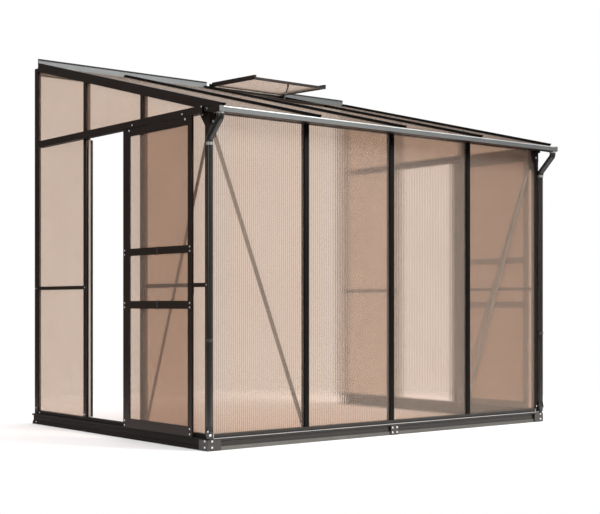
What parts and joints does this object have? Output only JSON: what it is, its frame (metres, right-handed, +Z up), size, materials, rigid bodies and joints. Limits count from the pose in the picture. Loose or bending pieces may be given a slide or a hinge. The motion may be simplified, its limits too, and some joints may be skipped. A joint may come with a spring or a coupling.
{
  "type": "lean-to greenhouse",
  "caption": "Lean-to greenhouse with clear sheets in a dark metal frame, a sliding door in each end, an opening roof vent, a gutter and downpipes.",
  "frame": {"origin": "centre of the bounding box at ground level", "axes": "+X along the front from the left end to the right, +Y from the front wall to the house wall, +Z up"},
  "size_m": [2.572, 2.001, 2.2444],
  "materials": {
    "frame": "satin anthracite powder coat",
    "trim": "light silver-grey coat",
    "glazing": "clear twin-wall plastic with fine upright flutes",
    "pipe": "satin dark grey coat",
    "brace": "bare dull metal",
    "roller": "moulded dark plastic"
  },
  "bodies": {
    "frame": {"base_front": "frame", "base_left": "frame", "base_right": "frame", "brace_left_end": "brace", "brace_left_front": "brace", "brace_right_end": "brace", "brace_right_front": "brace", "door_track_left": "frame", "door_track_right": "frame", "downpipe_left": "pipe", "downpipe_right": "pipe", "eaves_rail": "frame", "end_bar_left_1": "frame", "end_bar_left_2": "frame", "end_bar_right_1": "frame", "end_bar_right_2": "frame", "end_sheet_left_door_head": "glazing", "end_sheet_left_front": "glazing", "end_sheet_left_rear": "glazing", "end_sheet_right_door_head": "glazing", "end_sheet_right_front": "glazing", "end_sheet_right_rear": "glazing", "front_bar_1": "frame", "front_bar_2": "frame", "front_bar_3": "frame", "front_sheet_1": "glazing", "front_sheet_2": "glazing", "front_sheet_3": "glazing", "front_sheet_4": "glazing", "gutter_back": "trim", "gutter_cap_left": "frame", "gutter_cap_right": "frame", "gutter_floor": "trim", "gutter_wall": "trim", "post_front_left": "frame", "post_front_right": "frame", "post_rear_left": "frame", "post_rear_right": "frame", "rafter_left": "frame", "rafter_right": "frame", "roof_bar_1": "frame", "roof_bar_2": "frame", "roof_bar_3": "frame", "roof_sheet_1": "glazing", "roof_sheet_2": "glazing", "roof_sheet_3": "glazing", "roof_sheet_4": "glazing", "vent_crossbar": "frame", "wall_plate": "trim"},
    "door_left": {"door_frame_left": "frame", "door_sheet_left": "glazing"},
    "roller_left_front": {"roller_left_front": "roller"},
    "roller_left_rear": {"roller_left_rear": "roller"},
    "door_right": {"door_frame_right": "frame", "door_sheet_right": "glazing"},
    "roller_right_front": {"roller_right_front": "roller"},
    "roller_right_rear": {"roller_right_rear": "roller"},
    "roof_vent": {"vent_frame": "frame", "vent_sheet": "glazing"},
    "stay": {"vent_stay": "brace"}
  },
  "joints": [
    {"name": "door_slide_left", "type": "slide", "parent": "frame", "child": "door_left", "axis": [0, 1, 0], "range_m": [-0.06, 0.508]},
    {"name": "roller_turn_left_front", "type": "hinge", "parent": "door_left", "child": "roller_left_front", "pos_m": [-1.2635, -0.7115, 1.6983], "axis": [1, 0, 0], "continuous": true},
    {"name": "roller_turn_left_rear", "type": "hinge", "parent": "door_left", "child": "roller_left_rear", "pos_m": [-1.2635, -0.1575, 1.6983], "axis": [1, 0, 0], "continuous": true},
    {"name": "door_slide_right", "type": "slide", "parent": "frame", "child": "door_right", "axis": [0, 1, 0], "range_m": [-0.06, 0.508]},
    {"name": "roller_turn_right_front", "type": "hinge", "parent": "door_right", "child": "roller_right_front", "pos_m": [1.2635, -0.7115, 1.6983], "axis": [1, 0, 0], "continuous": true},
    {"name": "roller_turn_right_rear", "type": "hinge", "parent": "door_right", "child": "roller_right_rear", "pos_m": [1.2635, -0.1575, 1.6983], "axis": [1, 0, 0], "continuous": true},
    {"name": "vent_hinge", "type": "hinge", "parent": "frame", "child": "roof_vent", "pos_m": [0.31, 0.9055, 2.20783], "axis": [-1, 0, 0], "range_deg": [-12.2, 21.5]},
    {"name": "stay_pivot", "type": "hinge", "parent": "roof_vent", "child": "stay", "pos_m": [0.31, 0.45479, 2.17566], "axis": [-1, 0, 0], "range_deg": [-57, 15]}
  ],
  "couplings": [
    {"joint": "roller_turn_left_front", "follows": "door_slide_left", "rad_per_m": -76.923},
    {"joint": "roller_turn_left_rear", "follows": "door_slide_left", "rad_per_m": -76.923},
    {"joint": "roller_turn_right_front", "follows": "door_slide_right", "rad_per_m": -76.923},
    {"joint": "roller_turn_right_rear", "follows": "door_slide_right", "rad_per_m": -76.923}
  ]
}
